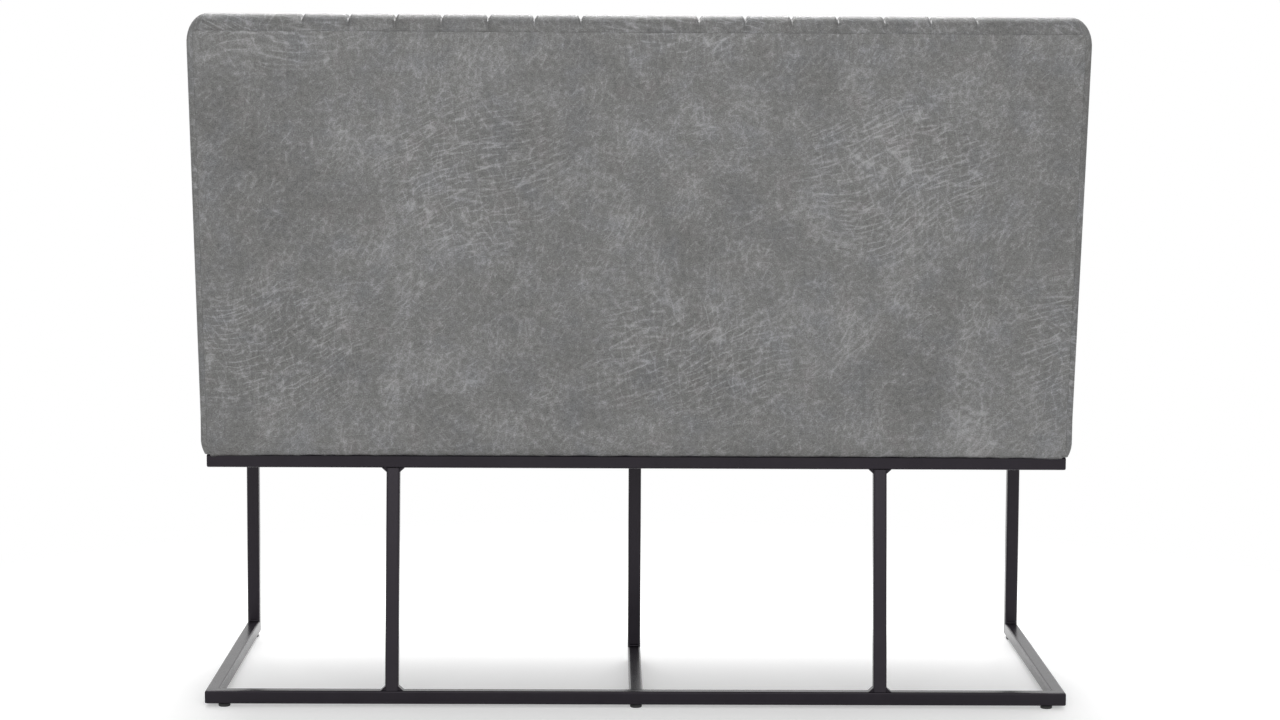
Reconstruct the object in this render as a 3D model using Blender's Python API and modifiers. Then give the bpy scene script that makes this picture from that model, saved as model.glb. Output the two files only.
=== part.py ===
"""Dining sofa: a high reclined back sewn in channels and a plain seat, on a welded square-tube frame.

Metres, +Z up. The seat faces -Y, and the origin is on the floor under the middle of the sofa.
"""

import math

import bmesh
import bpy
from mathutils import Matrix, Vector

# Overall sizes
WIDTH = 1.300  # across the upholstery
HEIGHT = 1.027  # floor to the top of the back
SEAT_HEIGHT = 0.485  # floor to the crown of the seat
FRAME_TOP = 0.374  # floor to the top of the steel frame
FRAME_DEPTH = 0.540  # rear face of the rear top rail to front face of the front one
RECLINE = math.radians(12.25)
CLEAR = 0.0003  # between pieces that touch

# Steel frame
TUBE = 0.020
WALL = 0.0015
TUBE_CORNER = 0.0025
FRAME_INSET = 0.008  # each side, from the upholstery's side to the frame's
UPRIGHT_INSET = 0.278  # from the side of the frame to the middle of a rear upright
REAR_LEAN = 0.046  # the rear floor rail stands this far behind the rear top rail
CENTRE_LEG_SETBACK = 0.323  # rear of the frame to the middle of the centre leg
WELD = 0.007  # leg of the weld fillets at the rear uprights
WELD_BITE = 0.0007  # how far a fillet reaches into the tube's wall

# Levelling glides
GLIDE_HEIGHT = 0.005
GLIDE_PAD = 0.018
GLIDE_STEM = 0.006
GLIDE_INSET = 0.028  # from the end of a rail to the glide
GLIDE_SPARE = 0.004  # stem that stands above its nut
GLIDE_ROUND = 0.001
NUT = 0.010
NUT_TALL = 0.008

# Fixings between steel and timber
TAB = 0.040
TAB_THICK = 0.003
TAB_CORNER = 0.004
SCREW = 0.005
SCREW_HEAD = 0.011
SCREW_HEAD_TALL = 0.003
SCREW_BITE = 0.018  # length of the screw inside the timber
BOLT = 0.008
BOLT_HEAD = 0.013
BOLT_HEAD_TALL = 0.005
BOLT_SINK = 0.008  # depth of the seat for the bolt's head
BOLT_BITE = 0.035  # length of the bolt inside the seat's rear rail
BOLT_INSET = 0.192  # from the end of the timber to the outer bolts

# Timber, springs and cloth
WOOD = 0.025
WOOD_WIDE = 0.060
POST_WIDE = 0.045
BOARD = 0.003
CLOTH = 0.001
CLOTH_MARGIN = 0.012
WIRE = 0.0036
SPRING_HALF = 0.026  # half the width of a spring
SPRING_BARS = 13
SPRINGS_PER_BAY = 3
CLIP_THICK = 0.0015
CLIP_DEPTH = 0.014

# Upholstery
LEATHER = 0.003  # leather with its fleece
BACK_THICK = 0.095
BACK_FOOT = 0.012  # above the frame's top, where the rear of the back meets the rear rail's face
BACK_ROUND = 0.030  # top edges of the back
SIDE_ROUND = 0.016  # side edges of the back
TOP_SEAM = 0.031  # top of the back down to the rear panel's seam
SIDE_SEAM = 0.016  # side of the back in to the rear panel's seam
REAR_PAD = 0.009
QUILT = 0.012  # wadding under the crown of a channel
QUILT_TOP_SHARE = 0.4  # part of that depth left where the channels cross the top edge
CENTRE_PANEL = 0.170  # plain panel in the middle of the back
END_PANEL = 0.1654  # plain panel at each end of the back
CHANNELS = 6  # each side of the centre panel
SEAT_OVERHANG = 0.006  # seat front past the frame
SEAT_ROUND = 0.032
SEAT_CROWN = 0.010
DRAWN_IN = 0.005  # lower edges of the leather, pulled under
DRAWN_RISE = 0.020
TUCK = 0.0244  # from the seat's timber up to the hem of the back's front cover
CUT_PAST = 0.020  # how far a cavity runs on past the opening it leaves

# Steps along curved edges, and how edges are shaded
ARC_STEPS = 3
TUBE_STEPS = 2
TURNED_STEPS = 14
SEAT_STATIONS = 10
SEAM_SHARES = (-0.35, -0.12, 0, 0.12, 0.35)  # of a channel's pitch, on both sides of a seam
SMOOTH_BELOW = math.radians(35)
MERGE = 0.00001

# Places that follow from the sizes
LEAN = math.tan(RECLINE)
BACK_LINE = FRAME_TOP + BACK_FOOT
REAR_REACH = (HEIGHT - BACK_ROUND - BACK_LINE) * LEAN + BACK_ROUND * (1 / math.cos(RECLINE) - 1)
FRONT_REACH = FRAME_DEPTH + SEAT_OVERHANG
REAR = (FRONT_REACH - REAR_REACH) / 2  # rear face of the rear top rail
FRONT = REAR - FRONT_REACH  # front of the seat
FRAME_HALF = WIDTH / 2 - FRAME_INSET
SIDE_X = FRAME_HALF - TUBE / 2
TOP_Z = FRAME_TOP - TUBE / 2
FLOOR_Z = GLIDE_HEIGHT + TUBE / 2
FRAME_REAR_Y = REAR - TUBE / 2
FRAME_FRONT_Y = REAR - FRAME_DEPTH + TUBE / 2
FLOOR_REAR_Y = REAR + REAR_LEAN - TUBE / 2
CENTRE_LEG_Y = REAR - CENTRE_LEG_SETBACK
UNDER_TOP = FRAME_TOP - TUBE - CLEAR
UPRIGHT_X = FRAME_HALF - UPRIGHT_INSET
MITRE = CLEAR / math.sqrt(2)  # each mitred end is trimmed this much

LEATHER_BASE = FRAME_TOP + CLEAR
WOOD_BASE = FRAME_TOP + CLOTH + 2 * CLEAR
WOOD_TOP = WOOD_BASE + WOOD
SKIN = LEATHER + DRAWN_IN + CLEAR  # outside of the leather to the timber
WOOD_HALF = WIDTH / 2 - SKIN
WOOD_FRONT = FRONT + SKIN
CLIP_TALL = WIRE + 2 * CLEAR + 2 * CLIP_THICK
FOAM_BASE = WOOD_TOP + CLIP_TALL + 2 * CLEAR
TUCK_Z = WOOD_TOP + TUCK

# Layers of the back, as depths from its rear face
PAD_FACE = LEATHER + CLEAR
BOARD_FACE = PAD_FACE + REAR_PAD + CLEAR
POST_FACE = BOARD_FACE + BOARD + CLEAR
POST_FRONT = POST_FACE + WOOD
QUILT_FACE = BACK_THICK - LEATHER - QUILT
WOOD_CEILING = HEIGHT - TOP_SEAM - CLEAR
QUILT_CEILING = HEIGHT - LEATHER - QUILT * QUILT_TOP_SHARE
PANEL_HALF = WIDTH / 2 - SIDE_SEAM
CORNER_HALF = WIDTH / 2 - SIDE_ROUND  # where the back's rounded side edges begin
CHANNEL_PITCH = (WIDTH / 2 - CENTRE_PANEL / 2 - END_PANEL) / CHANNELS

RIGHT = Vector((1, 0, 0))
BACK = Vector((0, 1, 0))
UP = Vector((0, 0, 1))
RECLINED = (
    Matrix.Translation((0, 0, BACK_LINE))
    @ Matrix(((1, 0, 0, 0), (0, 1, LEAN, 0), (0, 0, 1, 0), (0, 0, 0, 1)))
    @ Matrix.Translation((0, 0, -BACK_LINE))
)

MATERIALS = {
    "black_steel": ((0.024, 0.022, 0.026), 0.45, 0.0),
    "zinc_steel": ((0.55, 0.55, 0.56), 0.35, 1.0),
    "spring_steel": ((0.20, 0.20, 0.21), 0.40, 1.0),
    "black_plastic": ((0.02, 0.02, 0.02), 0.55, 0.0),
    "timber": ((0.52, 0.36, 0.20), 0.70, 0.0),
    "hardboard": ((0.30, 0.19, 0.10), 0.80, 0.0),
    "foam": ((0.80, 0.76, 0.60), 0.95, 0.0),
    "dust_cloth": ((0.03, 0.03, 0.03), 0.90, 0.0),
    "grey_leather": ((0.20, 0.20, 0.20), 0.50, 0.0),
}


def leaned(depth, z):
    """The place in Y of a plane of the reclined back, at a depth from its rear face and a height."""
    return REAR - depth + (z - BACK_LINE) * LEAN


def clear_scene():
    for thing in list(bpy.data.objects):
        bpy.data.objects.remove(thing, do_unlink=True)


def new_collection(name):
    collection = bpy.data.collections.new(name)
    bpy.context.scene.collection.children.link(collection)
    return collection


def finish(name):
    """The named finish, made once and shared by every piece that has it."""
    material = bpy.data.materials.get(name)
    if material:
        return material
    colour, roughness, metallic = MATERIALS[name]
    material = bpy.data.materials.new(name)
    material.use_nodes = True
    shader = material.node_tree.nodes["Principled BSDF"]
    shader.inputs["Base Color"].default_value = (*colour, 1)
    shader.inputs["Roughness"].default_value = roughness
    shader.inputs["Metallic"].default_value = metallic
    material.diffuse_color = (*colour, 1)
    return material


def place(name, data, material=None, location=(0, 0, 0), rotation=(0, 0, 0)):
    """A sub-part with its finish, or a cutter where no finish is given."""
    thing = bpy.data.objects.new(name, data)
    thing.location = location
    thing.rotation_euler = rotation
    if material:
        data.materials.append(finish(material))
        PARTS.objects.link(thing)
    else:
        thing.hide_render = True
        thing.display_type = "WIRE"
        CUTTERS.objects.link(thing)
    return thing


def as_mesh(name, bm, smooth=False):
    bmesh.ops.recalc_face_normals(bm, faces=bm.faces)
    mesh = bpy.data.meshes.new(name)
    bm.to_mesh(mesh)
    bm.free()
    if smooth:
        mesh.shade_smooth()
        mesh.set_sharp_from_angle(angle=SMOOTH_BELOW)
    return mesh


def combine(thing, operation, other):
    cut = thing.modifiers.new(other.name, "BOOLEAN")
    cut.operation = operation
    cut.object = other


def box(name, low, high, material=None, reclined=False, round_edges=0.0, front_only=False):
    """A box between two corners, its upright edges rounded, leaned back where it belongs to the back."""
    low = Vector(low)
    high = Vector(high)
    middle = (low + high) / 2
    bm = bmesh.new()
    bmesh.ops.create_cube(bm, size=1)
    bmesh.ops.scale(bm, vec=high - low, verts=bm.verts)
    bmesh.ops.translate(bm, vec=middle, verts=bm.verts)
    if round_edges:
        edges = [e for e in bm.edges if abs(e.verts[0].co.z - e.verts[1].co.z) > (high.z - low.z) / 2]
        edges = [e for e in edges if not front_only or e.verts[0].co.y < middle.y]
        # A profile of 0.5 makes the edge a quarter circle
        bmesh.ops.bevel(bm, geom=edges, offset=round_edges, segments=ARC_STEPS, profile=0.5, affect="EDGES")
    if reclined:
        bmesh.ops.transform(bm, matrix=RECLINED, verts=bm.verts)
    return place(name, as_mesh(name, bm), material)


def turned(name, profile, material=None, location=(0, 0, 0), rotation=(0, 0, 0)):
    """A piece turned about its own Z axis from (radius, height) points, top to bottom."""
    bm = bmesh.new()
    points = [bm.verts.new((radius, 0, height)) for radius, height in profile]
    for first, second in zip(points, points[1:]):
        bm.edges.new((first, second))
    mesh = bpy.data.meshes.new(name)
    bm.to_mesh(mesh)
    bm.free()
    thing = place(name, mesh, material, location, rotation)
    screw = thing.modifiers.new("turn", "SCREW")
    screw.steps = TURNED_STEPS
    screw.render_steps = TURNED_STEPS
    screw.use_merge_vertices = True
    screw.merge_threshold = MERGE
    return thing


def loft(bm, rings):
    """Walls between closed rings with as many points each, open at the first and last ring."""
    for ring, following in zip(rings, rings[1:]):
        for i in range(len(ring)):
            j = (i + 1) % len(ring)
            bm.faces.new((ring[i], ring[j], following[j], following[i]))


def rounded_square(half, radius):
    points = []
    for corner in range(4):
        middle = Vector((half - radius, half - radius))
        for step in range(TUBE_STEPS + 1):
            angle = math.pi / 2 * step / TUBE_STEPS
            point = middle + radius * Vector((math.cos(angle), math.sin(angle)))
            points.append(Matrix.Rotation(math.pi / 2 * corner, 2) @ point)
    return points


def tube(name, start, end, start_cut=None, end_cut=None):
    """A square tube between two points on its axis. A cut is the normal of a mitred or slanted end."""
    start = Vector(start)
    end = Vector(end)
    axis = (end - start).normalized()
    across = BACK if axis.x else RIGHT
    upward = axis.cross(across)
    outside = rounded_square(TUBE / 2, TUBE_CORNER)
    inside = rounded_square(TUBE / 2 - WALL, max(TUBE_CORNER - WALL, TUBE_CORNER / 4))
    ends = ((start, Vector(start_cut or axis)), (end, Vector(end_cut or axis)))

    bm = bmesh.new()

    def ring(outline, middle, cut):
        points = []
        for a, b in outline:
            offset = across * a + upward * b
            points.append(bm.verts.new(middle + offset - axis * (offset.dot(cut) / axis.dot(cut))))
        return points

    outer = [ring(outside, middle, cut) for middle, cut in ends]
    inner = [ring(inside, middle, cut) for middle, cut in ends]
    loft(bm, [outer[0], outer[1], inner[1], inner[0], outer[0]])
    return place(name, as_mesh(name, bm, smooth=True), "black_steel")


def make_steel_frame():
    """Floor rails, uprights, legs and the top frame that carries the timber."""
    rails = {}

    def rail(name, start, end, start_cut=None, end_cut=None):
        rails[name] = tube(name, start, end, start_cut, end_cut)

    rear_end = SIDE_X - MITRE
    rail("floor_rail_rear", (-rear_end, FLOOR_REAR_Y, FLOOR_Z), (rear_end, FLOOR_REAR_Y, FLOOR_Z),
         RIGHT + BACK, RIGHT - BACK)
    rail("top_rail_rear", (-rear_end, FRAME_REAR_Y, TOP_Z), (rear_end, FRAME_REAR_Y, TOP_Z),
         RIGHT + BACK, RIGHT - BACK)
    rail("top_rail_front", (-rear_end, FRAME_FRONT_Y, TOP_Z), (rear_end, FRAME_FRONT_Y, TOP_Z),
         RIGHT - BACK, RIGHT + BACK)

    for side, word in ((-1, "left"), (1, "right")):
        x = side * SIDE_X
        outward = RIGHT * side
        rail(f"floor_rail_{word}", (x, FRAME_FRONT_Y + MITRE, FLOOR_Z), (x, FLOOR_REAR_Y - MITRE, FLOOR_Z),
             BACK - UP, BACK - outward)
        rail(f"front_leg_{word}", (x, FRAME_FRONT_Y, FLOOR_Z + MITRE), (x, FRAME_FRONT_Y, UNDER_TOP),
             UP - BACK)
        rail(f"top_rail_{word}", (x, FRAME_FRONT_Y + MITRE, TOP_Z), (x, FRAME_REAR_Y - MITRE, TOP_Z),
             BACK + outward, BACK - outward)
        foot = Vector((side * UPRIGHT_X, FLOOR_REAR_Y, GLIDE_HEIGHT + TUBE + CLEAR))
        head = Vector((side * UPRIGHT_X, FRAME_REAR_Y, UNDER_TOP))
        rail(f"rear_upright_{word}", foot, head, UP, UP)
        combine(rails[f"rear_upright_{word}"], "UNION", weld_fillets(f"welds_{word}", foot, head))

    butt = TUBE / 2 + CLEAR
    rail("centre_leg", (0, CENTRE_LEG_Y, FLOOR_Z + MITRE), (0, CENTRE_LEG_Y, UNDER_TOP), UP - BACK)
    rail("floor_rail_centre", (0, CENTRE_LEG_Y + MITRE, FLOOR_Z), (0, FLOOR_REAR_Y - butt, FLOOR_Z),
         BACK - UP)
    rail("top_rail_centre", (0, FRAME_FRONT_Y + butt, TOP_Z), (0, FRAME_REAR_Y - butt, TOP_Z))
    return rails


def weld_fillets(name, foot, head):
    """The four weld fillets of an upright, left and right of both its ends."""
    bm = bmesh.new()
    half_depth = TUBE / 2 - TUBE_CORNER
    for end, rise in ((foot, WELD), (head, -WELD)):
        for side in (-1, 1):
            root = end + Vector((side * (TUBE / 2 - WELD_BITE), -half_depth, 0))
            toe = root + Vector((side * (WELD + WELD_BITE), 0, 0))
            top = root + Vector((0, 0, rise))
            face = bm.faces.new([bm.verts.new(point) for point in (root, toe, top)])
            swept = bmesh.ops.extrude_face_region(bm, geom=[face])["geom"]
            moved = [item for item in swept if isinstance(item, bmesh.types.BMVert)]
            bmesh.ops.translate(bm, vec=(0, 2 * half_depth, 0), verts=moved)
    return place(name, as_mesh(name, bm))


def drills(name, starts, direction, radius, length):
    """One cutter of equal cylinders, each from its start along one direction."""
    direction = Vector(direction)
    turn = direction.to_track_quat("Z", "Y").to_matrix().to_4x4()
    bm = bmesh.new()
    for start in starts:
        middle = Matrix.Translation(Vector(start) + direction * length / 2) @ turn
        bmesh.ops.create_cone(bm, cap_ends=True, segments=TURNED_STEPS, radius1=radius, radius2=radius,
                              depth=length, matrix=middle)
    return place(name, as_mesh(name, bm))


def make_glides(rails):
    """A screw-in glide at each bearing point, with its nut welded inside the rail above."""
    corner = FRAME_HALF - GLIDE_INSET
    front = REAR - FRAME_DEPTH + GLIDE_INSET
    under_leg = CENTRE_LEG_Y - TUBE / 2 + GLIDE_INSET
    carried = {
        "floor_rail_rear": {"rear_left": (-corner, FLOOR_REAR_Y), "rear_centre": (0, FLOOR_REAR_Y),
                            "rear_right": (corner, FLOOR_REAR_Y)},
        "floor_rail_left": {"front_left": (-SIDE_X, front)},
        "floor_rail_right": {"front_right": (SIDE_X, front)},
        "floor_rail_centre": {"centre": (0, under_leg)},
    }
    pad = GLIDE_PAD / 2
    stem = GLIDE_STEM / 2
    nut_top = GLIDE_HEIGHT + WALL + NUT_TALL
    stem_top = nut_top + GLIDE_SPARE
    pad_top = GLIDE_HEIGHT - CLEAR
    glide = ((0, stem_top), (stem - GLIDE_ROUND, stem_top), (stem, stem_top - GLIDE_ROUND), (stem, pad_top),
             (pad - GLIDE_ROUND, pad_top), (pad, pad_top - GLIDE_ROUND), (pad, GLIDE_ROUND),
             (pad - GLIDE_ROUND, 0), (0, 0))
    for rail, glides in carried.items():
        seats = [(x, y, GLIDE_HEIGHT + WALL / 2) for x, y in glides.values()]
        feet = [(x, y, 0) for x, y in glides.values()]
        combine(rails[rail], "UNION", drills(f"nuts_{rail}", seats, UP, NUT / 2, nut_top - seats[0][2]))
        combine(rails[rail], "DIFFERENCE", drills(f"bores_{rail}", feet, UP, stem + CLEAR, stem_top))
        for word, (x, y) in glides.items():
            turned(f"glide_{word}", glide, "black_plastic", (x, y, 0))


def make_seat_frame():
    """Flat timber rails round the seat and a stretcher in the middle."""
    inner_front = WOOD_FRONT + WOOD_WIDE
    rear_depth = POST_FRONT + CLEAR
    inner_rear = leaned(rear_depth + WOOD_WIDE, WOOD_BASE) - CLEAR
    rear_half = CORNER_HALF - CLEAR
    rails = {
        "front": box("seat_rail_front", (-WOOD_HALF, WOOD_FRONT, WOOD_BASE),
                     (WOOD_HALF, inner_front, WOOD_TOP), "timber", round_edges=SEAT_ROUND - SKIN,
                     front_only=True),
        "rear": box("seat_rail_rear", (-rear_half, REAR - rear_depth - WOOD_WIDE, WOOD_BASE),
                    (rear_half, REAR - rear_depth, WOOD_TOP), "timber", reclined=True),
    }
    for side, word in ((-1, "left"), (1, "right")):
        edges = sorted((side * WOOD_HALF, side * (WOOD_HALF - WOOD_WIDE)))
        box(f"seat_rail_{word}", (edges[0], inner_front + CLEAR, WOOD_BASE),
            (edges[1], inner_rear, WOOD_TOP), "timber")
    box("seat_stretcher", (-POST_WIDE / 2, inner_front + CLEAR, WOOD_BASE),
        (POST_WIDE / 2, inner_rear, WOOD_TOP), "timber")
    return rails


def make_springs():
    """Sinuous wire springs from front to rear, their end bars held in a folded clip rail."""
    front_clip = WOOD_FRONT + WOOD_WIDE - CLIP_DEPTH
    rear_clip = leaned(POST_FRONT + WOOD_WIDE, WOOD_BASE) + CLIP_DEPTH
    bay = WOOD_HALF - WOOD_WIDE - POST_WIDE / 2
    outline = ((0, 0), (CLIP_DEPTH, 0), (CLIP_DEPTH, CLIP_THICK), (CLIP_THICK, CLIP_THICK),
               (CLIP_THICK, CLIP_TALL - CLIP_THICK), (CLIP_DEPTH, CLIP_TALL - CLIP_THICK),
               (CLIP_DEPTH, CLIP_TALL), (0, CLIP_TALL))
    for word, y, facing in (("front", front_clip, 1), ("rear", rear_clip, -1)):
        curve = flat_curve(f"clip_rail_{word}", outline, WOOD_HALF - WOOD_WIDE)
        place(f"clip_rail_{word}", curve, "spring_steel", (0, y, WOOD_TOP + CLEAR),
              (math.pi / 2, 0, facing * math.pi / 2))

    seated = CLIP_THICK + CLEAR + WIRE / 2
    first = front_clip + seated
    last = rear_clip - seated
    step = (last - first) / (SPRING_BARS - 1)
    bend = step / 2
    number = 0
    for side in (-1, 1):
        for place_in_bay in range(SPRINGS_PER_BAY):
            x = side * (POST_WIDE / 2 + bay * (place_in_bay + 0.5) / SPRINGS_PER_BAY)
            number += 1
            path = []
            for bar in range(SPRING_BARS):
                hand = 1 if bar % 2 else -1
                y = first + bar * step
                path.append((x - hand * (SPRING_HALF - bend), y))
                path.append((x + hand * (SPRING_HALF - bend), y))
                if bar < SPRING_BARS - 1:
                    path.append((x + hand * SPRING_HALF, y + bend))
            wire(f"seat_spring_{number}", path, WOOD_TOP + CLEAR + seated)


def flat_curve(name, outline, half_length):
    curve = bpy.data.curves.new(name, "CURVE")
    curve.dimensions = "2D"
    curve.fill_mode = "BOTH"
    curve.extrude = half_length
    spline = curve.splines.new("POLY")
    spline.points.add(len(outline) - 1)
    for point, (a, b) in zip(spline.points, outline):
        point.co = (a, b, 0, 1)
    spline.use_cyclic_u = True
    return curve


def wire(name, path, z):
    curve = bpy.data.curves.new(name, "CURVE")
    curve.dimensions = "3D"
    curve.bevel_depth = WIRE / 2
    curve.bevel_resolution = 1
    curve.use_fill_caps = True
    spline = curve.splines.new("POLY")
    spline.points.add(len(path) - 1)
    for point, (x, y) in zip(spline.points, path):
        point.co = (x, y, z, 1)
    return place(name, curve, "spring_steel")


def make_back_frame():
    """Reclined posts between a lower and a top rail, with a board on their rear."""
    layer = {"material": "timber", "reclined": True}
    rear = REAR - POST_FACE
    front = REAR - POST_FRONT
    low_top = WOOD_BASE + WOOD_WIDE
    high_base = WOOD_CEILING - WOOD_WIDE
    lower = box("back_rail_lower", (-WOOD_HALF, front, WOOD_BASE), (WOOD_HALF, rear, low_top), **layer)
    box("back_rail_top", (-WOOD_HALF, front, high_base), (WOOD_HALF, rear, WOOD_CEILING), **layer)
    outer_post = WOOD_HALF - POST_WIDE / 2
    for word, middle in (("left", -outer_post), ("centre", 0), ("right", outer_post)):
        box(f"back_post_{word}", (middle - POST_WIDE / 2, front, low_top + CLEAR),
            (middle + POST_WIDE / 2, rear, high_base - CLEAR), **layer)
    half = PANEL_HALF - CLEAR
    box("back_board", (-half, REAR - BOARD_FACE - BOARD, WOOD_BASE),
        (half, REAR - BOARD_FACE, WOOD_CEILING), "hardboard", reclined=True)
    pad_half = half - DRAWN_IN
    box("rear_padding", (-pad_half, REAR - PAD_FACE - REAR_PAD, WOOD_BASE),
        (pad_half, REAR - PAD_FACE, WOOD_CEILING), "foam", reclined=True)
    return lower


def fastener(name, head, shank, head_tall, length, location, rotation=(0, 0, 0)):
    """A headed fastener along its own Z axis, with the underside of its head at 0."""
    profile = ((0, length), (shank / 2, length), (shank / 2, 0), (head / 2, 0), (head / 2, -head_tall),
               (0, -head_tall))
    return turned(name, profile, "zinc_steel", location, rotation)


def make_frame_screws(seat_rails):
    """Tabs on the steel frame, with screws up through the dust cover into the seat rails."""
    cloth = box("dust_cover", (CLOTH_MARGIN - WOOD_HALF, WOOD_FRONT + CLOTH_MARGIN, LEATHER_BASE),
                (WOOD_HALF - CLOTH_MARGIN, REAR - CLOTH_MARGIN, LEATHER_BASE + CLOTH), "dust_cloth")
    tab_low = FRAME_TOP - TAB_THICK
    head_seat = tab_low - CLEAR
    length = WOOD_BASE + SCREW_BITE - head_seat
    tab_x = SIDE_X - TUBE / 2 - CLEAR - TAB / 2
    tab_places = {
        "front": FRAME_FRONT_Y + TUBE / 2 + CLEAR + TAB / 2,
        "rear": leaned(POST_FRONT + WOOD_WIDE / 2, WOOD_BASE),
    }
    starts = [(x, y, head_seat - CLEAR) for x in (-tab_x, tab_x) for y in tab_places.values()]
    holes = drills("screw_holes", starts, UP, SCREW / 2 + CLEAR, length + 2 * CLEAR)
    for drilled in (cloth, *seat_rails.values()):
        combine(drilled, "DIFFERENCE", holes)
    for end, y in tab_places.items():
        for word, x in (("left", -tab_x), ("right", tab_x)):
            tab = box(f"fixing_tab_{end}_{word}", (x - TAB / 2, y - TAB / 2, tab_low),
                      (x + TAB / 2, y + TAB / 2, FRAME_TOP), "black_steel", round_edges=TAB_CORNER)
            combine(tab, "DIFFERENCE", holes)
            fastener(f"frame_screw_{end}_{word}", SCREW_HEAD, SCREW, SCREW_HEAD_TALL, length,
                     (x, y, head_seat))


def make_back_bolts(lower_rail, seat_rail):
    """Bolts, sunk in the back's lower rail, that hold it to the seat's rear rail."""
    z = WOOD_BASE + WOOD / 2
    head_seat = leaned(POST_FACE + BOLT_SINK, z)
    length = head_seat - leaned(POST_FRONT, z) + BOLT_BITE
    outer_bolt = WOOD_HALF - BOLT_INSET
    bolts = {"left": -outer_bolt, "centre": 0, "right": outer_bolt}
    seats = [(x, head_seat - CLEAR, z) for x in bolts.values()]
    entries = [(x, head_seat + BOLT_HEAD_TALL / 2, z) for x in bolts.values()]
    shanks = drills("bolt_holes", entries, -BACK, BOLT / 2 + CLEAR, length + BOLT_HEAD_TALL / 2 + CLEAR)
    heads = drills("bolt_seats", seats, BACK, BOLT_HEAD / 2 + CLEAR, BOLT_HEAD_TALL + BOLT_SINK)
    combine(lower_rail, "DIFFERENCE", heads)
    for rail in (lower_rail, seat_rail):
        combine(rail, "DIFFERENCE", shanks)
    for word, x in bolts.items():
        fastener(f"back_bolt_{word}", BOLT_HEAD, BOLT, BOLT_HEAD_TALL, length, (x, head_seat, z),
                 (math.pi / 2, 0, 0))


def arc(middle_a, middle_b, radius, start, end, steps=ARC_STEPS):
    """Points and outward normals round an arc, with angles in quarter turns from the first axis."""
    points = []
    for step in range(steps + 1):
        angle = math.pi / 2 * (start + (end - start) * step / steps)
        normal = (math.cos(angle), math.sin(angle))
        points.append(((middle_a + radius * normal[0], middle_b + radius * normal[1]), normal))
    return points


def end_stations(half, radius):
    """Places in X along a rounded end, up to the end itself."""
    turns = [math.pi / 2 * step / ARC_STEPS for step in range(ARC_STEPS + 1)]
    return [half - radius + radius * math.sin(turn) for turn in turns]


def end_inset(x, half, radius):
    """How far the skin falls in where the end is rounded."""
    past = min(max(abs(x) - (half - radius), 0), radius)
    return radius - math.sqrt(radius * radius - past * past)


def channel_seams():
    """Places in X of the sewn seams, on both sides of the centre panel."""
    outward = [CENTRE_PANEL / 2 + CHANNEL_PITCH * count for count in range(CHANNELS + 1)]
    return [-x for x in reversed(outward)] + outward


def seam_depth(x):
    """Depth below the crowns: the full quilt at a seam, none past half a channel from it."""
    near = min(abs(x - seam) for seam in channel_seams()) / (CHANNEL_PITCH / 2)
    return QUILT * (1 - math.sqrt(1 - max(1 - near, 0) ** 2))


def close_ends(bm, rings):
    """Flat ends on a loft, each in two faces because the lowest points are drawn in."""
    for ring in (rings[0], rings[-1]):
        bm.faces.new(ring[1:-1])
        bm.faces.new((ring[0], ring[1], ring[-2], ring[-1]))


def back_form(name, half, rear, front, base, top, radius, side_radius,
              quilted=False, drawn=0.0, material=None):
    """The back's body between two depths: rounded top and sides, with sewn channels where quilted."""
    skin = [((front, base), (1, 0), 1), ((front, base + DRAWN_RISE), (1, 0), 1)]
    for step, (point, normal) in enumerate(arc(front - radius, top - radius, radius, 0, 1)):
        skin.append((point, normal, 1 - (1 - QUILT_TOP_SHARE) * step / ARC_STEPS))
    for step, (point, normal) in enumerate(arc(rear + radius, top - radius, radius, 1, 2)):
        skin.append((point, normal, QUILT_TOP_SHARE * (1 - step / ARC_STEPS)))
    skin += [((rear, base + DRAWN_RISE), (-1, 0), 0), ((rear, base), (-1, 0), 0)]

    ends = end_stations(half, side_radius)
    stations = [-x for x in ends] + ends
    if quilted:
        seams = channel_seams()
        flat = CHANNEL_PITCH / 2
        stations += [seam + share * CHANNEL_PITCH for seam in seams for share in SEAM_SHARES]
        stations += [seams[0] - flat, flat - CENTRE_PANEL / 2, CENTRE_PANEL / 2 - flat, seams[-1] + flat]
    bm = bmesh.new()
    rings = []
    for x in sorted(stations):
        ring = []
        for (depth, z), normal, share in skin:
            inset = end_inset(x, half, side_radius) + (share * seam_depth(x) if quilted else 0)
            narrowed = 1 - drawn / half if z == base else 1
            y = REAR - depth + normal[0] * inset
            ring.append(bm.verts.new((x * narrowed, y, z - normal[1] * inset)))
        rings.append(ring)
    loft(bm, rings)
    close_ends(bm, rings)
    bmesh.ops.transform(bm, matrix=RECLINED, verts=bm.verts)
    return place(name, as_mesh(name, bm, smooth=True), material)


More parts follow.
